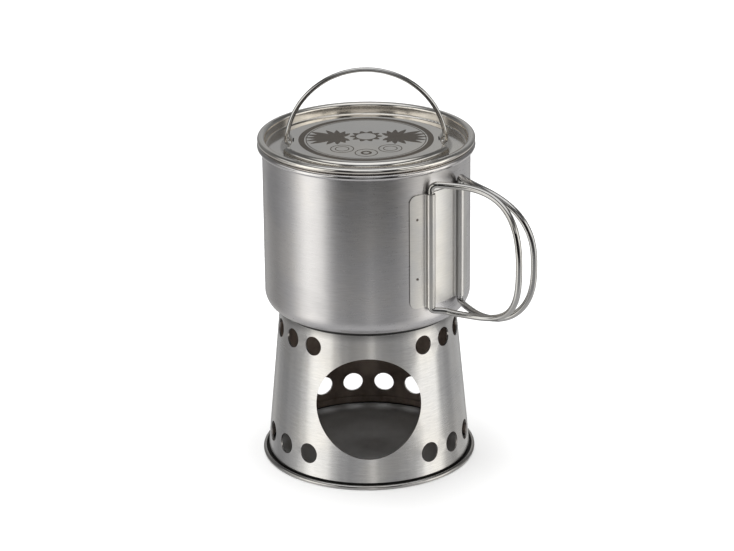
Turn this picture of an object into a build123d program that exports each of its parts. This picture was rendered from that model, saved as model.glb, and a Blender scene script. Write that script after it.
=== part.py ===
from build123d import *
import os
from math import asin, atan, cos, degrees, hypot, pi, radians, sin, sqrt

# Wood-burning pot stove: a perforated cone shell on a shallow tray, with a lidded mug on top.
# Millimetres. The origin is on the vertical axis, on the ground; +Z is up and -Y faces the user.
# An azimuth is measured in degrees from -Y, the side with the feed opening, towards +X.

# ---- Driving dimensions -------------------------------------------------------------------
SHEET = 0.6  # tray, mug, lid and bracket sheet
GAP = 0.3  # space kept between pieces that lift or fold away from each other

# Tray under the stove
TRAY_BEAD = 2.0  # diameter of the rolled rim
TRAY_RADIUS = 51.5  # outside of the rolled rim
TRAY_STEP_RADIUS = 48.3  # edge of the raised floor
TRAY_FLOOR = 1.9  # top of the raised floor

# Conical stove shell
SHELL_SHEET = 0.8
SHELL_BASE_RADIUS = 49.1  # outside radius of the cone extended down to the ground
SHELL_TAPER = 0.0917  # loss of radius per millimetre of height
SHELL_TOP = 76.2
HEM_HEIGHT = 3.5  # folded edge at the foot
FEED_DIAMETER = 49.5
FEED_HEIGHT = 39.1  # centre of the round feed opening
VENT_ROWS = {13.6: 9.8, 67.1: 9.2}  # height and diameter of the vents in each row
VENTS_PER_ROW = 16
FIRST_VENT_AZIMUTH = 37.2

# Mug
MUG_RADIUS = 49.0  # outside of the straight wall
MUG_CORNER = 8.0
MUG_BEAD = 2.9  # diameter of the rolled rim
MUG_BEAD_HEIGHT = 155.85  # centre of the rolled rim

# Bracket that holds the two folding wire handles
BRACKET_AZIMUTH = 46.65
BARREL_AZIMUTH = 11.45  # each hinge barrel, either side of the bracket's middle
FLANGE_AZIMUTH = 23.4  # free edge of each flange, either side of the middle
BRACKET_BOTTOM = 89.4
BRACKET_TOP = 145.0
FLANGE_CORNER = 3.6
BARREL_ROOT = 0.7  # rounding where a barrel meets the strip
WELD_AZIMUTH = 18.95  # each pair of spot welds, either side of the middle
WELD_HEIGHTS = (104.0, 133.2)
WELD_RADIUS = 0.8
WELD_DEPTH = 0.25

# Handle loops, bowed like the wall they fold against
WIRE = 3.0
HINGE_RADIUS = MUG_RADIUS + GAP + WIRE / 2  # distance of a hinge wire from the mug's axis
HINGE_CLEARANCE = 0.05  # running fit of the wire in its barrel, on the radius
LOOP_HEADING = {-1: 83.46, 1: 17.74}  # azimuth in which the left and right loop stand out
LOOP_BOW_RADIUS = 52.5  # curve of a loop seen from above
LOOP_REACH = 48.5
LOOP_TOP = 149.5
LOOP_WIDEST = 116.8
LOOP_BOTTOM = 86.8
LOOP_UPPER_RUN = 36.1  # length of the upper rounding along the loop
LOOP_LOWER_RUN = 31.7
LOOP_FULLNESS = 2.55  # 2 is an ellipse, more is squarer
LOOP_TOP_BEND = 3.0
LOOP_BOTTOM_BEND = 1.7
LOOP_HEEL = 0.85  # how much higher the bottom run is where it leaves the hinge
LOOP_SETTLE = {-1: 0.0, 1: -1.0}  # how far each loop has slid along its barrel

# Lid
LID_BEAD = 2.6
LID_RADIUS = 51.2
LID_CHANNEL = 154.8  # floor between the recess wall and the raised centre
LID_PLATEAU = 157.85  # flat top of the raised centre
PLATEAU_ARC = 43.4  # radius of the long front and back edges of the raised centre
PLATEAU_DEPTH = 35.4  # how far those edges stand from the lid's axis
PLATEAU_CORNER = 38.9  # distance of the four corners from the middle, along X
PLATEAU_WAIST = 35.8  # distance of the hollowed ends from the middle, along X
PLATEAU_SHOULDER = 2.2
PLATEAU_FOOT = 0.4  # rounding where the raised centre meets the channel

# Wire bail on the lid
BAIL_WIRE = 2.2
BAIL_RADIUS = 37.5  # centre line of the arch
BAIL_ARCH_HEIGHT = 154.3  # centre of the arch
BAIL_PIVOT = 156.05
BAIL_BEND = 1.5
BAIL_PIN_END = 34.4
BAIL_CLEARANCE = 0.05
PIN_SLIT = (33.9, 34.5)  # slit over each pin, from the lid's axis
PIN_SLIT_LENGTH = 5.8

# ---- Worked out from the dimensions above -------------------------------------------------
MUG_BORE = MUG_RADIUS - SHEET
MUG_RIM_TOP = MUG_BEAD_HEIGHT + MUG_BEAD / 2
LID_BEAD_HEIGHT = MUG_RIM_TOP + GAP + LID_BEAD / 2
SIDES = (-1, 1)


# ---- Shared helpers -----------------------------------------------------------------------
def polar(radius, azimuth, height=0.0):
    angle = radians(azimuth)
    return Vector(radius * sin(angle), -radius * cos(angle), height)


def profile(*corners):
    """Section through the axis, from corners given as (radius, height, rounding)."""
    points = [(radius, height) for radius, height, _ in corners]
    roundings = [rounding for _, _, rounding in corners]
    return Plane.XZ * make_face(FilletPolyline(*points, radius=roundings, close=True))


def bead(radius, height, diameter):
    """Section of a rolled rim."""
    return Plane.XZ * Pos(radius, height) * Circle(diameter / 2)


def shell_radius(height):
    return SHELL_BASE_RADIUS - SHELL_TAPER * height


# ---- Stove --------------------------------------------------------------------------------
def make_base_tray():
    """Shallow tray: raised floor, a gutter that stands on the ground, and a rolled rim."""
    rim = TRAY_RADIUS - TRAY_BEAD / 2
    inner_step = TRAY_STEP_RADIUS - SHEET
    floor = profile(
        (0, TRAY_FLOOR - SHEET, 0),
        (inner_step, TRAY_FLOOR - SHEET, 0),
        (inner_step, 0, 0.3),
        (TRAY_RADIUS - 0.5, 0, 0),
        (TRAY_RADIUS - 0.5, SHEET, 0),
        (TRAY_STEP_RADIUS, SHEET, 0),
        (TRAY_STEP_RADIUS, TRAY_FLOOR, 0.5),
        (0, TRAY_FLOOR, 0),
    )
    return revolve(floor + bead(rim, TRAY_BEAD / 2, TRAY_BEAD), Axis.Z)


def make_stove_shell():
    """Tapered shell with a hemmed foot, a round feed opening and two rows of round vents."""
    foot = TRAY_FLOOR
    hem = foot + HEM_HEIGHT
    section = profile(
        (shell_radius(foot), foot, 0.75),
        (shell_radius(SHELL_TOP), SHELL_TOP, 0.2),
        (shell_radius(SHELL_TOP) - SHELL_SHEET, SHELL_TOP, 0.2),
        (shell_radius(hem) - SHELL_SHEET, hem, 0),
        (shell_radius(hem) - 2 * SHELL_SHEET, hem, 0.4),
        (shell_radius(foot) - 2 * SHELL_SHEET, foot, 0.75),
    )
    feed = Plane(origin=(0, 0, FEED_HEIGHT), z_dir=(0, -1, 0)) * Cylinder(
        FEED_DIAMETER / 2, 2 * MUG_RADIUS, align=(Align.CENTER, Align.CENTER, Align.MIN)
    )
    return revolve(section, Axis.Z) - feed - vent_punches()


def vent_punches():
    """One punch for each vent, square to the sloping wall."""
    pitch = (360 - 2 * FIRST_VENT_AZIMUTH) / (VENTS_PER_ROW - 1)
    slope = atan(SHELL_TAPER)
    punches = []
    for height, diameter in VENT_ROWS.items():
        for index in range(VENTS_PER_ROW):
            azimuth = FIRST_VENT_AZIMUTH + index * pitch
            outward = polar(cos(slope), azimuth, sin(slope))
            wall = polar(shell_radius(height), azimuth, height)
            punches.append(Plane(origin=wall, z_dir=outward) * Cylinder(diameter / 2, 8))
    return punches


# ---- Mug ----------------------------------------------------------------------------------
def make_mug_body():
    """Straight-sided drawn cup with a rounded bottom corner and a rolled rim."""
    floor = SHELL_TOP + SHEET
    wall = profile(
        (0, SHELL_TOP, 0),
        (MUG_RADIUS, SHELL_TOP, MUG_CORNER),
        (MUG_RADIUS, MUG_BEAD_HEIGHT, 0),
        (MUG_BORE, MUG_BEAD_HEIGHT, 0),
        (MUG_BORE, floor, MUG_CORNER - SHEET),
        (0, floor, 0),
    )
    return revolve(wall + bead(MUG_BORE + MUG_BEAD / 2, MUG_BEAD_HEIGHT, MUG_BEAD), Axis.Z)


def barrel_azimuth(side):
    return BRACKET_AZIMUTH + side * BARREL_AZIMUTH


def make_handle_bracket():
    """Pressed strip on the mug wall: two flanges, two hinge barrels and a plate between them."""
    face = MUG_RADIUS + SHEET
    bore = WIRE / 2 + HINGE_CLEARANCE
    width = 2 * (bore + SHEET)
    plan = strip_plan(face)
    for side in SIDES:
        plan += Pos(polar(HINGE_RADIUS, barrel_azimuth(side))) * Circle(width / 2)
        plan += radial_block(side, MUG_RADIUS - SHEET, HINGE_RADIUS, width)
    plan = fillet(barrel_roots(plan, face), BARREL_ROOT) - Circle(MUG_RADIUS)
    for side in SIDES:
        plan -= Pos(polar(HINGE_RADIUS, barrel_azimuth(side))) * Circle(bore)
        plan -= radial_block(side, MUG_RADIUS - SHEET, HINGE_RADIUS, 2 * bore)
    strip = Pos(0, 0, BRACKET_BOTTOM) * extrude(plan, BRACKET_TOP - BRACKET_BOTTOM)
    return round_flanges(strip) - weld_dimples(face)


def strip_plan(face):
    """Plan of the strip: a thin arc of a ring."""
    start = BRACKET_AZIMUTH - FLANGE_AZIMUTH
    end = BRACKET_AZIMUTH + FLANGE_AZIMUTH
    edges = [Line(polar(MUG_RADIUS, start), polar(face, start))]
    for radius in (face, MUG_RADIUS):
        ends = [polar(radius, azimuth) for azimuth in (start, BRACKET_AZIMUTH, end)]
        edges.append(ThreePointArc(*ends))
    edges.append(Line(polar(MUG_RADIUS, end), polar(face, end)))
    return make_face(edges)


def radial_block(side, inner, outer, width):
    """Plan rectangle along the radius through one barrel."""
    turn = Rot(0, 0, barrel_azimuth(side) - 90)
    return turn * Pos((inner + outer) / 2, 0) * Rectangle(outer - inner, width)


def barrel_roots(plan, face):
    """Corners where the barrels rise from the strip."""
    half_turn = BARREL_AZIMUTH + 5
    roots = []
    for vertex in plan.vertices():
        on_face = abs(hypot(vertex.X, vertex.Y) - face) < 0.01
        azimuth = degrees(asin(vertex.X / hypot(vertex.X, vertex.Y)))
        if on_face and abs(azimuth - BRACKET_AZIMUTH) < half_turn:
            roots.append(vertex)
    return roots


def round_flanges(strip):
    """Round the four free corners of the strip."""
    corners = []
    for side in SIDES:
        for height in (BRACKET_BOTTOM, BRACKET_TOP):
            corner = polar(MUG_RADIUS + SHEET / 2, BRACKET_AZIMUTH + side * FLANGE_AZIMUTH, height)
            corners.append(strip.edges().sort_by_distance(corner)[0])
    return fillet(corners, FLANGE_CORNER)


def weld_dimples(face):
    """Shallow round marks of the four spot welds."""
    ball = (WELD_RADIUS**2 + WELD_DEPTH**2) / (2 * WELD_DEPTH)
    dimples = []
    for side in SIDES:
        for height in WELD_HEIGHTS:
            azimuth = BRACKET_AZIMUTH + side * WELD_AZIMUTH
            dimples.append(Pos(polar(face + ball - WELD_DEPTH, azimuth, height)) * Sphere(ball))
    return dimples


# ---- Handle loops -------------------------------------------------------------------------
def loop_point(along, height, side):
    """A point of a loop, from its distance along the bow and its height."""
    turn = degrees(along / LOOP_BOW_RADIUS)
    chord = 2 * LOOP_BOW_RADIUS * sin(radians(turn / 2))
    hinge = polar(HINGE_RADIUS, barrel_azimuth(side), height)
    return hinge + polar(chord, LOOP_HEADING[side] + side * turn / 2)


def loop_bow(side):
    """Points round the open side of the D, from the top run to the bottom run."""
    power = 2 / LOOP_FULLNESS
    angles = [step * pi / 12 for step in range(7)]
    points = [loop_point((LOOP_TOP_BEND + LOOP_REACH - LOOP_UPPER_RUN) / 2, LOOP_TOP, side)]
    for angle in angles:
        along = LOOP_REACH - LOOP_UPPER_RUN * (1 - sin(angle) ** power)
        height = LOOP_WIDEST + (LOOP_TOP - LOOP_WIDEST) * cos(angle) ** power
        points.append(loop_point(along, height, side))
    for angle in angles[1:]:
        along = LOOP_REACH - LOOP_LOWER_RUN * (1 - cos(angle) ** power)
        height = LOOP_WIDEST - (LOOP_WIDEST - LOOP_BOTTOM) * sin(angle) ** power
        points.append(loop_point(along, height, side))
    run_middle = (LOOP_BOTTOM_BEND + LOOP_REACH - LOOP_LOWER_RUN) / 2
    points.append(loop_point(run_middle, LOOP_BOTTOM + LOOP_HEEL / 2, side))
    return points


def make_handle_loop(side):
    """Closed D of round wire whose straight side is the hinge."""
    out = polar(1, LOOP_HEADING[side])
    hinge = polar(HINGE_RADIUS, barrel_azimuth(side))
    heel = LOOP_BOTTOM + LOOP_HEEL
    low = hinge + Vector(0, 0, heel + LOOP_BOTTOM_BEND)
    high = hinge + Vector(0, 0, LOOP_TOP - LOOP_TOP_BEND)
    top = hinge + out * LOOP_TOP_BEND + Vector(0, 0, LOOP_TOP)
    bottom = hinge + out * LOOP_BOTTOM_BEND + Vector(0, 0, heel)
    top_bend = TangentArc(high, top, tangent=(0, 0, 1))
    bow = Spline(top, *loop_bow(side), bottom, tangents=[out, -out])
    bottom_bend = TangentArc(low, bottom, tangent=(0, 0, -1))
    section = Circle(WIRE / 2)
    open_side = sweep(Plane(high) * section, path=Wire([top_bend, bow, bottom_bend]))
    stem = Plane(low) * extrude(section, high.Z - low.Z)
    return Pos(0, 0, LOOP_SETTLE[side]) * (open_side + stem)


# ---- Lid and bail -------------------------------------------------------------------------
def make_lid_cover():
    """Dished lid: rolled rim, recess wall, channel and raised centre with two bail holes."""
    under = LID_CHANNEL - SHEET
    centre = raised_centre(plateau_plan(), under, LID_PLATEAU, PLATEAU_SHOULDER)
    hollow_plan = offset(plateau_plan(), -SHEET)
    hollow = raised_centre(hollow_plan, under, LID_PLATEAU - SHEET, PLATEAU_SHOULDER - SHEET)
    lid = lid_pan() + centre
    lid = fillet(plateau_foot(lid), PLATEAU_FOOT) - hollow
    for side in SIDES:
        lid = lid - pin_hole(side) - pin_slit(side)
    return lid


def lid_pan():
    """The lid without its raised centre."""
    wall = MUG_BORE - GAP
    rim = LID_RADIUS - LID_BEAD / 2
    top = LID_BEAD_HEIGHT + LID_BEAD / 2
    section = profile(
        (0, LID_CHANNEL, 0),
        (wall - SHEET, LID_CHANNEL, 0.8),
        (wall - SHEET, top, 1.6),
        (rim, top, 0),
        (rim, LID_BEAD_HEIGHT, 0),
        (wall, LID_BEAD_HEIGHT, 0),
        (wall, LID_CHANNEL - SHEET, 1.4),
        (0, LID_CHANNEL - SHEET, 0),
    )
    return revolve(section + bead(rim, LID_BEAD_HEIGHT, LID_BEAD), Axis.Z)


def plateau_plan():
    """Outline of the raised centre: two long arcs, and two hollowed ends for the bail."""
    back = PLATEAU_DEPTH - PLATEAU_ARC + sqrt(PLATEAU_ARC**2 - PLATEAU_CORNER**2)
    corners = [(-PLATEAU_CORNER, -back), (PLATEAU_CORNER, -back)]
    corners += [(PLATEAU_CORNER, back), (-PLATEAU_CORNER, back)]
    middles = [(0, -PLATEAU_DEPTH), (PLATEAU_WAIST, 0), (0, PLATEAU_DEPTH), (-PLATEAU_WAIST, 0)]
    edges = []
    for index, middle in enumerate(middles):
        edges.append(ThreePointArc(corners[index], middle, corners[(index + 1) % 4]))
    return make_face(edges)


def raised_centre(plan, low, high, rounding):
    """Block with its upper edges and its corners rounded."""
    block = Pos(0, 0, low) * extrude(plan, high - low)
    edges = block.edges().filter_by(Axis.Z) + block.edges().group_by(Axis.Z)[-1]
    return fillet(edges, rounding)


def plateau_foot(lid):
    """Edges where the raised centre meets the channel."""
    edges = []
    for edge in lid.edges():
        middle = edge @ 0.5
        on_channel = abs(middle.Z - LID_CHANNEL) < 0.01
        if on_channel and hypot(middle.X, middle.Y) < MUG_BORE - 5:
            edges.append(edge)
    return edges


def pin_hole(side):
    """Bore that a bail pin turns in."""
    bore = BAIL_WIRE / 2 + BAIL_CLEARANCE
    length = PLATEAU_CORNER - BAIL_PIN_END + 1
    middle = side * (BAIL_PIN_END - 0.5 + length / 2)
    return Pos(middle, 0, BAIL_PIVOT) * Rot(0, 90, 0) * Cylinder(bore, length)


def pin_slit(side):
    """Slit through the top of the raised centre, over a bail pin."""
    inner, outer = PIN_SLIT
    middle = side * (inner + outer) / 2
    return Pos(middle, 0, LID_PLATEAU) * Box(outer - inner, PIN_SLIT_LENGTH, 4 * SHEET)


def make_lid_bail():
    """Wire arch whose two ends turn in as hinge pins."""
    rise = BAIL_PIVOT + BAIL_BEND - BAIL_ARCH_HEIGHT
    bend_centre = sqrt((BAIL_RADIUS - BAIL_BEND) ** 2 - rise**2)
    stretch = BAIL_RADIUS / (BAIL_RADIUS - BAIL_BEND)
    meet = (bend_centre * stretch, BAIL_ARCH_HEIGHT + rise * stretch)
    crown = (0, BAIL_ARCH_HEIGHT + BAIL_RADIUS)
    edges = [ThreePointArc(meet, crown, (-meet[0], meet[1]))]
    for side in SIDES:
        start = (side * bend_centre, BAIL_PIVOT)
        edges.append(Line((side * BAIL_PIN_END, BAIL_PIVOT), start))
        edges.append(TangentArc(start, (side * meet[0], meet[1]), tangent=(side, 0)))
    route = Plane.XZ * Wire(edges)
    section = Plane(origin=route @ 0, z_dir=route % 0) * Circle(BAIL_WIRE / 2)
    return sweep(section, path=route)


# ---- Write the sub-parts ------------------------------------------------------------------
PARTS = {
    "base_tray": make_base_tray,
    "stove_shell": make_stove_shell,
    "mug_body": make_mug_body,
    "handle_bracket": make_handle_bracket,
    "handle_loop_left": lambda: make_handle_loop(-1),
    "handle_loop_right": lambda: make_handle_loop(1),
    "lid_cover": make_lid_cover,
    "lid_bail": make_lid_bail,
}

os.makedirs("parts", exist_ok=True)
for name, make in PARTS.items():
    export_step(make(), f"parts/{name}.step")
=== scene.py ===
import math

import bmesh
import bpy
from mathutils import Matrix, Vector


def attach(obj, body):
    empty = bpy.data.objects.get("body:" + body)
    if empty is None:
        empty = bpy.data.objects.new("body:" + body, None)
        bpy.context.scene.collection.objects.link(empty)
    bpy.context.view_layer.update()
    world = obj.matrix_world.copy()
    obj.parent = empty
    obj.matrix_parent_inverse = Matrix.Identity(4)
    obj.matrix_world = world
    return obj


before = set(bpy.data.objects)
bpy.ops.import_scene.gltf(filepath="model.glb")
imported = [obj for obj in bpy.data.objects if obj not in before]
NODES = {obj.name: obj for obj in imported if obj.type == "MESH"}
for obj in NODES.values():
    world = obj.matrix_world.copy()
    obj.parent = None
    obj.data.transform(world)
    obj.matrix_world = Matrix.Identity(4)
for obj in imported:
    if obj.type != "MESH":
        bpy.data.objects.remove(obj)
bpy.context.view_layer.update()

# Wood-burning pot stove with a lidded mug. Metres, +Z up, the feed opening faces -Y. An azimuth
# is measured in degrees from -Y towards +X.

# Where the finishes and the painted shade change, as heights or as radii from the axis. In a pair
# marked "from, to" each finish and shade grows from nothing at the first value to its full strength
# at the second.
TRAY_RIM = (0.0506, 0.0520)  # radii of the rolled rim's outer half, which is polished
TRAY_ASH_RADIUS = (0.0481, 0.0476)  # from, to: edge of the ash on the raised floor
TRAY_ASH_HEIGHT = (0.0016, 0.0018)  # from, to: just under the raised floor
TRAY_DARKER_OUTWARDS = (0.032, 0.046)  # from, to: the floor darkens outwards
TRAY_GAP_SHADE = (0.0467, 0.0502)  # radii of the painted shade in the gap from the floor's edge to the rolled rim
SHELL_HEM = (0.0019, 0.0030)  # heights of the polished edge of the hemmed foot
SHELL_HEAT = (0.05, 0.078)  # from, to: heights of the brown tint under the mug
SHELL_SHADE = (0.0712, 0.0752)  # from, to: heights of the painted shade on the shell under the mug
SHELL_CONTACT_SHADOW = (0.0749, 0.0754)  # from, to: heights of the painted shadow line where the mug rests
MUG_FOOT_SHADE = (0.0790, 0.0775)  # from, to: heights of the painted shade on the underside of the mug
MUG_RIM = (0.1545, 0.1552)  # from, to: heights of the polished rolled rim
BRACKET_AZIMUTH = 46.65  # middle of the bracket
WELD_AZIMUTH = 18.95  # weld marks, to either side of the middle of the bracket
WELD_HEIGHTS = (0.1040, 0.1332)
WELD_RADIUS = 0.0496
WELD_SIZE = (0.00085, 0.00035)  # from, to: distances from the middle of a weld mark
LID_WALL_HEIGHT = (0.1552, 0.1592)  # heights of the recess wall
LID_WALL_RADIUS = (0.0450, 0.0460)  # from, to: radii where the recess wall begins
LID_RIM = (0.0488, 0.0500)  # from, to: radii of the rolled rim, which is smoother
LID_CHANNEL_HEIGHT = (0.15465, 0.15500)  # heights of the channel round the raised centre
LID_CHANNEL_SHADE_RADIUS = (0.0410, 0.0395)  # from, to: painted shade in the channel, growing inwards towards the raised centre

BRIGHT_STEEL = (0.86, 0.85, 0.83)
SOOT_AND_SHADE_DARK = (0.21, 0.165, 0.14)
SOOT_AND_SHADE_LIGHT = (0.46, 0.38, 0.33)
ASH_DARK = (0.48, 0.48, 0.48)
ASH_LIGHT = (0.58, 0.58, 0.58)
# near black: painted shade in gaps, at edges and under the mug, and the darker outer tray floor
NEAR_BLACK = (0.012, 0.011, 0.010)
HEAT_TINT = (0.62, 0.56, 0.49)
WALL_TINT = (0.82, 0.76, 0.69)  # the lid's recess wall is warmer than the rest of the lid
WELD = (0.16, 0.13, 0.115)


def around_axis(radius, azimuth):
    angle = math.radians(azimuth)
    return (radius * math.sin(angle), -radius * math.cos(angle))


# ---- Camera ---------------------------------------------------------------------------------
CAMERA_SENSOR = 36.0
CAMERA_LENS = 137.26
CAMERA_PITCH = 21.351  # degrees it looks down
CAMERA_ROLL = 0.579  # degrees
CAMERA_DISTANCE = 1.338  # from its target
CAMERA_TARGET = (-0.00024, 0, 0.08906)


def make_camera():
    """Camera at the product-shot viewpoint, slightly above the object."""
    data = bpy.data.cameras.new("camera")
    data.sensor_width = CAMERA_SENSOR
    data.lens = CAMERA_LENS
    camera = bpy.data.objects.new("camera", data)
    bpy.context.scene.collection.objects.link(camera)
    pitch = math.radians(CAMERA_PITCH)
    roll = math.radians(CAMERA_ROLL)
    forward = Vector((0, math.cos(pitch), -math.sin(pitch)))
    level_right = Vector((1, 0, 0))
    level_up = Vector((0, math.sin(pitch), math.cos(pitch)))
    right = math.cos(roll) * level_right - math.sin(roll) * level_up
    up = math.sin(roll) * level_right + math.cos(roll) * level_up
    matrix = Matrix((right, up, -forward)).transposed().to_4x4()
    matrix.translation = Vector(CAMERA_TARGET) - CAMERA_DISTANCE * forward
    camera.matrix_world = matrix
    bpy.context.scene.camera = camera


# ---- Node helpers ---------------------------------------------------------------------------
class Nodes:
    """Shorthand for building a node tree. A value may be a number, a colour or an output."""

    def __init__(self, tree):
        self.tree = tree

    def add(self, kind, **settings):
        node = self.tree.nodes.new(kind)
        for name, value in settings.items():
            setattr(node, name, value)
        return node

    def link(self, source, target):
        self.tree.links.new(source, target)

    def feed(self, socket, value):
        if hasattr(value, "is_output"):
            self.link(value, socket)
        else:
            socket.default_value = value

    def math(self, operation, *values):
        node = self.add("ShaderNodeMath", operation=operation)
        for socket, value in zip(node.inputs, values):
            self.feed(socket, value)
        return node.outputs[0]

    def vector(self, operation, *values):
        node = self.add("ShaderNodeVectorMath", operation=operation)
        for socket, value in zip(node.inputs, values):
            self.feed(socket, value)
        scalar = operation in ("DOT_PRODUCT", "LENGTH")
        return node.outputs["Value"] if scalar else node.outputs[0]

    def combine(self, *values):
        node = self.add("ShaderNodeCombineXYZ")
        for socket, value in zip(node.inputs, values):
            self.feed(socket, value)
        return node.outputs[0]

    def noise(self, vector, scale, detail, rough, w=None):
        node = self.add("ShaderNodeTexNoise", noise_dimensions="3D" if w is None else "4D")
        self.link(vector, node.inputs["Vector"])
        if w is not None:
            self.link(w, node.inputs["W"])
        node.inputs["Scale"].default_value = scale
        node.inputs["Detail"].default_value = detail
        node.inputs["Roughness"].default_value = rough
        return node.outputs["Fac"]

    def spread(self, value, low, high, to_low=0.0, to_high=1.0, smooth=True):
        """Map a range of value to another one. The range may run downwards."""
        node = self.add("ShaderNodeMapRange")
        node.interpolation_type = "SMOOTHSTEP" if smooth else "LINEAR"
        self.feed(node.inputs[0], value)
        for socket, number in zip(node.inputs[1:5], (low, high, to_low, to_high)):
            self.feed(socket, number)
        return node.outputs[0]

    def ramp(self, value, stops, interpolation):
        node = self.add("ShaderNodeValToRGB")
        node.color_ramp.interpolation = interpolation
        elements = node.color_ramp.elements
        while len(elements) < len(stops):
            elements.new(0.5)
        for element, (position, colour) in zip(elements, stops):
            element.position = position
            element.color = (*colour, 1)
        self.link(value, node.inputs[0])
        return node.outputs["Color"]

    def mix(self, factor, first, second):
        node = self.add("ShaderNodeMix", data_type="RGBA")
        self.feed(node.inputs["Factor"], factor)
        for socket, value in zip((node.inputs[6], node.inputs[7]), (first, second)):
            self.feed(socket, value if hasattr(value, "is_output") else (*value, 1))
        return node.outputs[2]

    def blend(self, factor, first, second):
        """The same as mix, for numbers."""
        node = self.add("ShaderNodeMix", data_type="FLOAT")
        self.feed(node.inputs["Factor"], factor)
        for socket, value in zip((node.inputs[2], node.inputs[3]), (first, second)):
            self.feed(socket, value)
        return node.outputs[0]


# ---- Materials ------------------------------------------------------------------------------
QUARTER_TURN = 0.25


class Steel(Nodes):
    """Stainless steel: drawn lines round the object's axis, cloudy tone, stains, wear and painted
    shade.
    """

    def __init__(self, name, colour, rough, lines=0.05, tone=0.06, bump=0.000006):
        self.material = bpy.data.materials.new(name)
        self.material.use_nodes = True
        super().__init__(self.material.node_tree)
        self.shader = self.tree.nodes["Principled BSDF"]
        self.place = self.add("ShaderNodeTexCoord").outputs["Object"]
        split = self.add("ShaderNodeSeparateXYZ")
        self.link(self.place, split.inputs[0])
        self.height = split.outputs["Z"]
        flat = self.vector("MULTIPLY", self.place, (1.0, 1.0, 0.0))
        self.radius = self.vector("LENGTH", flat)
        self.outward = self.vector("NORMALIZE", flat)
        self.metal = 1.0
        # Long fine lines, a few short scratches and broad clouds
        drawn = self.drawn_lines(9.0, 2300.0, 4.0)
        scratch = self.spread(self.drawn_lines(60.0, 1300.0, 2.0), 0.66, 0.74)
        cloud = self.noise(self.place, 34.0, 4.0, 0.55)
        shade = self.math("MULTIPLY", self.spread(drawn, 0.3, 0.7, 1 - lines, 1 + lines, False),
                          self.spread(cloud, 0.3, 0.7, 1 - tone, 1 + tone, False))
        shade = self.math("ADD", shade, self.math("MULTIPLY", scratch, 1.2 * lines))
        warm = (colour[0], colour[1] * 0.985, colour[2] * 0.955)
        tint = self.mix(self.spread(cloud, 0.4, 0.62), colour, warm)
        self.paint = self.vector("MULTIPLY", tint, self.combine(shade, shade, shade))
        rough_lines = self.spread(drawn, 0.3, 0.7, rough * 0.9, rough * 1.12, False)
        smudge = self.spread(self.noise(self.place, 21.0, 5.0, 0.6), 0.52, 0.7, 0.0, rough * 0.3)
        self.rough = self.math("ADD", rough_lines, smudge)
        self.relief = self.math("ADD", drawn, self.math("MULTIPLY", scratch, 0.5))
        self.bump = bump

    def drawn_lines(self, around, across, detail):
        """Noise stretched round the object's axis, on walls and on flats alike."""
        vector = self.vector("MULTIPLY", self.outward, (around, around, 0.0))
        radial = self.combine(0.0, 0.0, self.math("MULTIPLY", self.radius, across))
        w = self.math("MULTIPLY", self.height, across)
        return self.noise(self.vector("ADD", vector, radial), 1.0, detail, 0.6, w)

    def stain_and_shade(self, mask, dark, light, rough, metal):
        """Lay a patchy colour over the steel where mask is 1: soot, ash, weld marks and painted
        shade.
        """
        patch = self.noise(self.place, 70.0, 6.0, 0.62)
        colour = self.mix(self.spread(patch, 0.3, 0.7), dark, light)
        self.paint = self.mix(mask, self.paint, colour)
        dull = self.spread(patch, 0.3, 0.7, rough * 0.85, rough * 1.15)
        self.rough = self.blend(mask, self.rough, dull)
        if metal < 1:
            self.metal = self.blend(mask, self.metal, metal)

    def polish(self, mask, amount, smooth=0.75):
        """Brighten the steel unevenly and smooth it where mask is 1, as on a rubbed edge."""
        broken = self.spread(self.noise(self.place, 260.0, 4.0, 0.6), 0.35, 0.65, 0.35, 1.0)
        worn = self.math("MULTIPLY", mask, broken)
        self.paint = self.mix(self.math("MULTIPLY", worn, amount), self.paint, BRIGHT_STEEL)
        self.rough = self.math("MULTIPLY", self.rough, self.spread(mask, 0, 1, 1, smooth, False))

    def facing_out(self):
        """Cosine between a surface and the direction away from the axis."""
        normal = self.add("ShaderNodeNewGeometry").outputs["Normal"]
        return self.vector("DOT_PRODUCT", self.outward, normal)

    def facing_axis(self):
        """1 on surfaces that look inwards, at the axis."""
        return self.spread(self.facing_out(), -0.02, -0.3)

    def band(self, value, low, high, soft):
        """1 between two values, with soft ends."""
        rise = self.spread(value, low - soft, low + soft)
        fall = self.spread(value, high - soft, high + soft, 1.0, 0.0)
        return self.math("MULTIPLY", rise, fall)

    def done(self, aniso=0.0):
        """Join everything to the shader. With aniso, highlights spread across the drawn lines."""
        relief = self.add("ShaderNodeBump")
        relief.inputs["Strength"].default_value = 1.0
        relief.inputs["Distance"].default_value = self.bump
        self.link(self.relief, relief.inputs["Height"])
        self.link(relief.outputs[0], self.shader.inputs["Normal"])
        self.link(self.paint, self.shader.inputs["Base Color"])
        self.link(self.rough, self.shader.inputs["Roughness"])
        self.feed(self.shader.inputs["Metallic"], self.metal)
        if aniso:
            self.shader.inputs["Anisotropic"].default_value = aniso
            self.shader.inputs["Anisotropic Rotation"].default_value = QUARTER_TURN
            tangent = self.add("ShaderNodeTangent", direction_type="RADIAL", axis="Z")
            self.link(tangent.outputs[0], self.shader.inputs["Tangent"])
        return self.material


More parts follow.
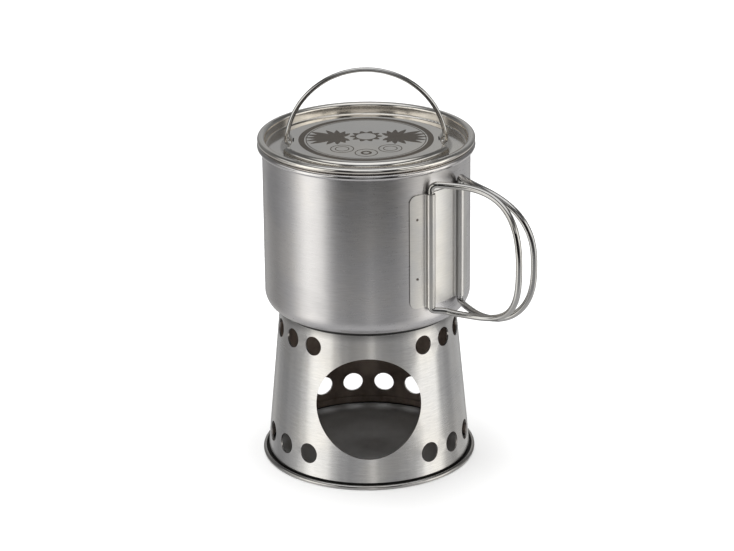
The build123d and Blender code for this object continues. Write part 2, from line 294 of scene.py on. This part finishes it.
def tray_steel():
    steel = Steel("tray steel", (0.47, 0.46, 0.45), 0.15, lines=0.03)
    steel.polish(steel.band(steel.radius, *TRAY_RIM, 0.0002), 0.15)
    floor = steel.spread(steel.radius, *TRAY_ASH_RADIUS)
    floor = steel.math("MULTIPLY", floor, steel.spread(steel.height, *TRAY_ASH_HEIGHT))
    steel.stain_and_shade(floor, ASH_DARK, ASH_LIGHT, 0.75, 0.0)
    # the raised floor gets darker towards its outer edge
    darker_outwards = steel.math("MULTIPLY", floor, steel.spread(steel.radius, *TRAY_DARKER_OUTWARDS, 0.0, 0.5))
    steel.stain_and_shade(darker_outwards, NEAR_BLACK, NEAR_BLACK, 0.75, 0.0)
    # painted shade in the gap between the shell's foot and the rolled rim
    gap_shade = steel.band(steel.radius, *TRAY_GAP_SHADE, 0.0002)
    steel.stain_and_shade(gap_shade, NEAR_BLACK, NEAR_BLACK, 0.7, 0.0)
    return steel.done()


def shell_steel():
    steel = Steel("shell steel", (0.66, 0.655, 0.655), 0.22, lines=0.08, tone=0.05)
    steel.polish(steel.band(steel.height, *SHELL_HEM, 0.0003), 0.25)
    smoke = steel.noise(steel.place, 30.0, 5.0, 0.6)
    heat = steel.math("MULTIPLY", steel.spread(steel.height, *SHELL_HEAT), 0.14)
    heat = steel.math("MULTIPLY", heat, steel.spread(smoke, 0.35, 0.65))
    steel.paint = steel.mix(heat, steel.paint, HEAT_TINT)
    # soot and painted shade on the surfaces that face the axis, inside the stove
    steel.stain_and_shade(steel.facing_axis(), SOOT_AND_SHADE_DARK, SOOT_AND_SHADE_LIGHT, 0.5, 0.7)
    # painted shade on the shell under the mug
    shade = steel.math("MULTIPLY", steel.spread(steel.height, *SHELL_SHADE), 0.4)
    steel.stain_and_shade(shade, NEAR_BLACK, NEAR_BLACK, 0.3, 1.0)
    # painted shadow line where the mug rests on the shell
    steel.stain_and_shade(steel.spread(steel.height, *SHELL_CONTACT_SHADOW), NEAR_BLACK, NEAR_BLACK, 0.6, 0.0)
    return steel.done(0.75)


def mug_steel():
    steel = Steel("mug steel", (0.67, 0.66, 0.67), 0.29, lines=0.08)
    steel.polish(steel.spread(steel.height, *MUG_RIM), 0.1, 0.4)
    # painted shade on the mug's rounded underside, above the shell
    steel.stain_and_shade(steel.spread(steel.height, *MUG_FOOT_SHADE), NEAR_BLACK, NEAR_BLACK, 0.6, 0.0)
    return steel.done(0.75)


def bracket_steel():
    steel = Steel("bracket steel", (0.82, 0.81, 0.795), 0.40, lines=0.05)
    # painted shade on the cut edges and where the barrels meet the strip, on sideways-facing
    # surfaces
    edge = steel.spread(steel.math("ABSOLUTE", steel.facing_out()), 0.4, 0.05)
    steel.stain_and_shade(steel.math("MULTIPLY", edge, 0.5), NEAR_BLACK, NEAR_BLACK, 0.5, 1.0)
    for side in (-1, 1):
        azimuth = BRACKET_AZIMUTH + side * WELD_AZIMUTH
        for height in WELD_HEIGHTS:
            weld = (*around_axis(WELD_RADIUS, azimuth), height)
            away = steel.vector("LENGTH", steel.vector("SUBTRACT", steel.place, weld))
            steel.stain_and_shade(steel.spread(away, *WELD_SIZE), WELD, WELD, 0.5, 1.0)
    return steel.done(0.5)


def wire_steel():
    steel = Steel("wire steel", (0.55, 0.545, 0.54), 0.09, lines=0.03, tone=0.05, bump=0.000003)
    return steel.done()


def lid_steel():
    steel = Steel("lid steel", (0.70, 0.69, 0.67), 0.12, lines=0.025, bump=0.0000008)
    wall = steel.band(steel.height, *LID_WALL_HEIGHT, 0.0004)
    wall = steel.math("MULTIPLY", wall, steel.spread(steel.radius, *LID_WALL_RADIUS))
    steel.paint = steel.mix(steel.math("MULTIPLY", wall, 0.7), steel.paint, WALL_TINT)
    steel.polish(steel.spread(steel.radius, *LID_RIM), 0.1, 0.6)
    # painted shade in the channel at the foot of the raised centre
    channel = steel.band(steel.height, *LID_CHANNEL_HEIGHT, 0.0001)
    channel = steel.math("MULTIPLY", channel, steel.spread(steel.radius, *LID_CHANNEL_SHADE_RADIUS))
    steel.stain_and_shade(steel.math("MULTIPLY", channel, 0.35), NEAR_BLACK, NEAR_BLACK, 0.5, 1.0)
    return steel.done(0.3)


def etched_steel():
    steel = Steel("etched steel", (0.22, 0.195, 0.17), 0.45, lines=0.08, tone=0.12)
    return steel.done()


def set_material(material, *names):
    for name in names:
        slots = NODES[name].data.materials
        if not slots:
            slots.append(material)
        for index in range(len(slots)):
            slots[index] = material


def dress_parts():
    set_material(tray_steel(), "base_tray")
    set_material(shell_steel(), "stove_shell")
    set_material(mug_steel(), "mug_body")
    set_material(bracket_steel(), "handle_bracket")
    set_material(wire_steel(), "handle_loop_left", "handle_loop_right", "lid_bail")
    set_material(lid_steel(), "lid_cover")


# ---- Etched ornament on the lid -------------------------------------------------------------
LID_TOP = 0.15785  # flat top of the lid's raised centre
ETCH_PROUD = 0.00003  # how far the ornament stands out of that top
ETCH_DEEP = 0.00012  # how far it reaches into the lid

# Places are (x, y) from the lid's axis. "Corners" is how many an outline has.
BORDER_RINGS = ((0.0318, 0.0291), (0.02840, 0.02795))  # outer and inner radius of each ring
BORDER_CORNERS = 128
ROSETTE_PLACE = (0.0, 0.004)
ROSETTE_RADIUS = 0.0066
ROSETTE_HOLE = 0.0047
ROSETTE_LOBES = (0.0011, 10)  # depth and number
ROSETTE_CORNERS = 120
SIDE_RINGS = (0.0056, 0.0034)  # outer radii
SIDE_RING_WIDTH = 0.00045
SIDE_RING_PLACE = (0.0112, -0.0140)
SIDE_RING_CORNERS = 64
LOW_RINGS = ((0.0054, 0.00495, 64), (0.0026, 0.0014, 48))  # outer and inner radius, corners
LOW_RING_PLACE = (0.0, -0.0200)

FAN_PLACE = (0.0132, 0.0025)
FAN_HEART = 0.0030  # radius of the lobed disc that the leaves grow from
FAN_LOBES = (0.0003, 6)  # depth and number
FAN_CORNERS = 48
LEAF_START = 0.0012  # distance of each leaf's root from the middle of the disc
LEAF_LIFT = 0.000003  # how much further each leaf stands out of the lid than the one before
LEAF_STEPS = 12  # parts that each edge of a leaf is drawn in
# Rows of leaves in a fan: heading of the first one and step between them, in degrees, and their
# number, then the length of the first one, how much each next one is shorter, and their width
FANS = [
    (-34, 17, 5, 0.0145, 0.0000, 0.0037),
    (62, 24, 4, 0.0112, 0.0014, 0.0030),
    (-62, -26, 4, 0.0102, 0.0014, 0.0030),
]


def prism(bm, outline, hole=None, lift=0.0):
    """Thin closed plate let into the lid from an outline of (x, y), with or without a hole."""
    walls = []
    for points in filter(None, (outline, hole)):
        low = [bm.verts.new((x, y, LID_TOP - ETCH_DEEP - lift)) for x, y in points]
        high = [bm.verts.new((x, y, LID_TOP + ETCH_PROUD + lift)) for x, y in points]
        walls.append((low, high))
        for i, j in pairs(len(points)):
            bm.faces.new((low[i], low[j], high[j], high[i]))
    if hole is None:
        low, high = walls[0]
        bm.faces.new(high)
        bm.faces.new(low[::-1])
        return
    outer, inner = walls
    for i, j in pairs(len(outline)):
        bm.faces.new((outer[1][i], outer[1][j], inner[1][j], inner[1][i]))
        bm.faces.new((outer[0][j], outer[0][i], inner[0][i], inner[0][j]))


def pairs(count):
    return [(i, (i + 1) % count) for i in range(count)]


def round_outline(count, centre, radius_at):
    """Closed outline round centre, with the radius given as a function of the angle."""
    outline = []
    for i in range(count):
        angle = 2 * math.pi * i / count
        radius = radius_at(angle)
        outline.append((centre[0] + radius * math.cos(angle), centre[1] + radius * math.sin(angle)))
    return outline


def ring(bm, outer, inner, centre, count):
    prism(bm, round_outline(count, centre, lambda angle: outer),
          round_outline(count, centre, lambda angle: inner))


def rosette(bm):
    """Scalloped ring."""
    scallops = scalloped(ROSETTE_RADIUS, *ROSETTE_LOBES)
    prism(bm, round_outline(ROSETTE_CORNERS, ROSETTE_PLACE, scallops),
          round_outline(ROSETTE_CORNERS, ROSETTE_PLACE, lambda angle: ROSETTE_HOLE))


def scalloped(radius, depth, lobes):
    return lambda angle: radius + depth * math.cos(lobes * angle)


def leaf(bm, root, heading, length, width, lift):
    """Pointed leaf from root along heading, widest a little before its middle."""
    axis = Vector((math.cos(heading), math.sin(heading)))
    across = Vector((-axis.y, axis.x))
    spine = []
    for i in range(LEAF_STEPS + 1):
        t = i / LEAF_STEPS
        half = width / 2 * abs(math.sin(math.pi * t)) ** 0.8 * (1.15 - 0.4 * t)
        spine.append((t * length, half))
    outline = [root + axis * along + across * half for along, half in spine]
    outline += [root + axis * along - across * half for along, half in spine[-2:0:-1]]
    prism(bm, [(point.x, point.y) for point in outline], lift=lift)


def fan(bm, side):
    """Leaves that open outwards from one heart, with shorter ones curling inwards."""
    root = Vector(mirrored(FAN_PLACE, side))
    prism(bm, round_outline(FAN_CORNERS, root, scalloped(FAN_HEART, *FAN_LOBES)))
    lift = 0.0
    for first, step, count, length, shrink, width in FANS:
        for i in range(count):
            lift += LEAF_LIFT
            heading = math.radians(first + step * i)
            if side < 0:
                heading = math.pi - heading
            start = root + LEAF_START * Vector((math.cos(heading), math.sin(heading)))
            leaf(bm, start, heading, length - shrink * i, width, lift)


def mirrored(place, side):
    return (side * place[0], place[1])


def build_ornament(bm):
    """Ringed border, a rosette, two fans of leaves and three sets of small rings below."""
    for outer, inner in BORDER_RINGS:
        ring(bm, outer, inner, (0.0, 0.0), BORDER_CORNERS)
    rosette(bm)
    for side in (-1, 1):
        fan(bm, side)
        place = mirrored(SIDE_RING_PLACE, side)
        for outer in SIDE_RINGS:
            ring(bm, outer, outer - SIDE_RING_WIDTH, place, SIDE_RING_CORNERS)
    for outer, inner, count in LOW_RINGS:
        ring(bm, outer, inner, LOW_RING_PLACE, count)


def make_piece(name, build):
    bm = bmesh.new()
    build(bm)
    bmesh.ops.recalc_face_normals(bm, faces=bm.faces)
    mesh = bpy.data.meshes.new(name)
    bm.to_mesh(mesh)
    bm.free()
    piece = bpy.data.objects.new(name, mesh)
    bpy.context.scene.collection.objects.link(piece)
    return piece


def make_ornament():
    piece = make_piece("lid_ornament", build_ornament)
    piece.data.materials.append(etched_steel())
    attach(piece, "lid")


# ---- Floor, dark card and lamp --------------------------------------------------------------
FLOOR_SIZE = 6.0
FLOOR_COLOUR = (0.86, 0.86, 0.86)
FLAG_RADIUS = 0.25
FLAG_HEIGHTS = (0.045, 0.200)
FLAG_AZIMUTH = 56  # how far the card reaches to either side
FLAG_STEP = 2  # degrees between its upright edges
FLAG_COLOUR = (0.01, 0.01, 0.01)
FLAG_FADE_ASIDE = (0.10, 0.20)  # distances along X over which its ends fade out
FLAG_FADE_ABOVE = (0.045, 0.085)  # heights over which its lower edge fades in
LAMP_SIZE = 2.2
LAMP_POWER = 54.0
LAMP_PLACE = (-0.05, 0.10, 2.0)
LAMP_AIM = (0, 0, 0.05)


def plain_material(name, colour, rough):
    material = bpy.data.materials.new(name)
    material.use_nodes = True
    shader = material.node_tree.nodes["Principled BSDF"]
    shader.inputs["Base Color"].default_value = (*colour, 1)
    shader.inputs["Roughness"].default_value = rough
    shader.inputs["Specular IOR Level"].default_value = 0.0
    return material


def make_floor():
    """Plain pale floor. The steel reflects the studio instead of it."""
    floor = make_piece("floor", lambda bm: bmesh.ops.create_grid(bm, size=FLOOR_SIZE))
    floor.data.materials.append(plain_material("floor", FLOOR_COLOUR, 0.9))
    floor.visible_glossy = False


def flag_material():
    """Black in the middle of the card, fading to nothing at its ends and at its lower edge."""
    material = plain_material("flag", FLAG_COLOUR, 1.0)
    n = Nodes(material.node_tree)
    split = n.add("ShaderNodeSeparateXYZ")
    n.link(n.add("ShaderNodeTexCoord").outputs["Object"], split.inputs[0])
    aside = n.spread(n.math("ABSOLUTE", split.outputs["X"]), *FLAG_FADE_ASIDE, 1.0, 0.0)
    above = n.spread(split.outputs["Z"], *FLAG_FADE_ABOVE)
    n.link(n.math("MULTIPLY", aside, above), n.tree.nodes["Principled BSDF"].inputs["Alpha"])
    return material


def build_flag(bm):
    rows = []
    for azimuth in range(-FLAG_AZIMUTH, FLAG_AZIMUTH + 1, FLAG_STEP):
        spot = around_axis(FLAG_RADIUS, azimuth)
        rows.append([bm.verts.new((*spot, height)) for height in FLAG_HEIGHTS])
    for first, second in zip(rows, rows[1:]):
        bm.faces.new((first[0], second[0], second[1], first[1]))


def make_flag():
    """Dark curved card in front, which only reflections see: it shades the upper mug."""
    flag = make_piece("flag", build_flag)
    flag.data.materials.append(flag_material())
    flag.visible_camera = False
    flag.visible_diffuse = False
    flag.visible_shadow = False
    flag.visible_transmission = False


def make_lamp():
    """Large soft lamp overhead, for the floor and the dull surfaces."""
    data = bpy.data.lights.new("lamp", "AREA")
    data.shape = "DISK"
    data.size = LAMP_SIZE
    data.energy = LAMP_POWER
    lamp = bpy.data.objects.new("lamp", data)
    lamp.location = LAMP_PLACE
    aim = Vector(LAMP_AIM) - lamp.location
    lamp.rotation_euler = aim.to_track_quat("-Z", "Y").to_euler()
    lamp.visible_glossy = False
    bpy.context.scene.collection.objects.link(lamp)


# ---- Studio that the steel reflects ---------------------------------------------------------
# Pairs of azimuth and brightness: just under the horizon, lower down, and above the horizon
NEAR_HORIZON = [
    (-180, 0.10), (-160, 0.26), (-135, 0.18), (-105, 0.20), (-92, 0.28), (-80, 0.34), (-75, 1.20),
    (-62, 1.45), (-49, 1.35), (-40, 0.74), (-31, 0.42), (-18, 0.40), (-6, 0.50), (5, 0.85),
    (13, 0.46), (34, 0.34), (50, 0.36), (58, 0.60), (64, 1.30), (90, 1.45), (97, 0.56),
    (117, 0.24), (133, 0.16), (155, 0.24), (180, 0.10),
]
LOW = [
    (-180, 0.25), (-150, 0.52), (-136, 0.38), (-120, 0.34), (-104, 0.46), (-92, 0.76), (-82, 1.20),
    (-68, 1.40), (-54, 1.30), (-46, 0.76), (-38, 0.38), (-28, 0.33), (-10, 0.32), (4, 0.38),
    (12, 0.33), (30, 0.31), (42, 0.36), (54, 0.66), (66, 1.20), (88, 1.20), (97, 0.45),
    (112, 0.36), (126, 0.62), (150, 0.60), (180, 0.25),
]
HIGH = [
    (-180, 0.42), (-140, 0.20), (-112, 0.16), (-98, 0.80), (-60, 1.35), (-38, 1.20), (-30, 0.06),
    (-18, 0.06), (-10, 0.62), (12, 0.62), (20, 0.06), (31, 0.06), (38, 1.20), (60, 1.35),
    (98, 0.80), (112, 0.16), (140, 0.20), (180, 0.42),
]
OVERHEAD = 1.2  # brightness of the panel overhead
GAP = 0.12  # brightness between the standing panels and the one overhead
GROUND = 0.55  # brightness straight below, seen by the mug's rounded corner
# LOW is laid down first. Each of these pairs says where the next layer begins to cover it and
# where it hides it: a direction's rise is -1 straight down, 0 level and 1 straight up.
RISE_NEAR_HORIZON = (-0.33, -0.22)
RISE_HIGH = (0.0, 0.2)
RISE_GROUND = (-0.45, -0.75)
RISE_GAP = (0.44, 0.60)
RISE_OVERHEAD = (0.76, 0.94)
UNEVEN_SCALE = 44.0  # steps of the noise in one turn
UNEVEN_LIGHT = (0.84, 1.16)  # darkest and brightest factor of the uneven light


def panel_colour(level):
    """The bright panels are slightly warm, the dark gaps neutral."""
    warmth = min(max((level - 0.4) / 0.6, 0), 1)
    return (level * (1 + 0.012 * warmth), level, level * (1 - 0.04 * warmth))


def horizon_band(n, turn, levels):
    stops = [((azimuth + 180) / 360, panel_colour(level)) for azimuth, level in levels]
    return n.ramp(turn, stops, "EASE")


def make_studio():
    """Studio of large soft panels, given as brightness round the horizon and overhead."""
    world = bpy.data.worlds.new("studio")
    bpy.context.scene.world = world
    world.use_nodes = True
    n = Nodes(world.node_tree)
    split = n.add("ShaderNodeSeparateXYZ")
    n.link(n.add("ShaderNodeTexCoord").outputs["Generated"], split.inputs[0])
    angle = n.math("ARCTAN2", split.outputs["X"], n.math("MULTIPLY", split.outputs["Y"], -1.0))
    turn = n.math("ADD", n.math("DIVIDE", angle, 2 * math.pi), 0.5)
    rise = split.outputs["Z"]
    colour = horizon_band(n, turn, LOW)
    colour = n.mix(n.spread(rise, *RISE_NEAR_HORIZON), colour, horizon_band(n, turn, NEAR_HORIZON))
    colour = n.mix(n.spread(rise, *RISE_HIGH), colour, horizon_band(n, turn, HIGH))
    colour = n.mix(n.spread(rise, *RISE_GROUND), colour, (GROUND, GROUND, GROUND))
    colour = n.mix(n.spread(rise, *RISE_GAP), colour, (GAP, GAP, GAP))
    place = n.combine(n.math("MULTIPLY", turn, UNEVEN_SCALE), 0.0, 0.0)
    uneven = n.spread(n.noise(place, 1.0, 3.0, 0.6), 0.3, 0.7, *UNEVEN_LIGHT)
    colour = n.vector("MULTIPLY", colour, n.combine(uneven, uneven, uneven))
    colour = n.mix(n.spread(rise, *RISE_OVERHEAD), colour, (OVERHEAD, OVERHEAD, OVERHEAD))
    n.link(colour, world.node_tree.nodes["Background"].inputs["Color"])


make_camera()
dress_parts()
make_ornament()
make_floor()
make_flag()
make_lamp()
make_studio()
bpy.context.scene.view_settings.view_transform = "Standard"
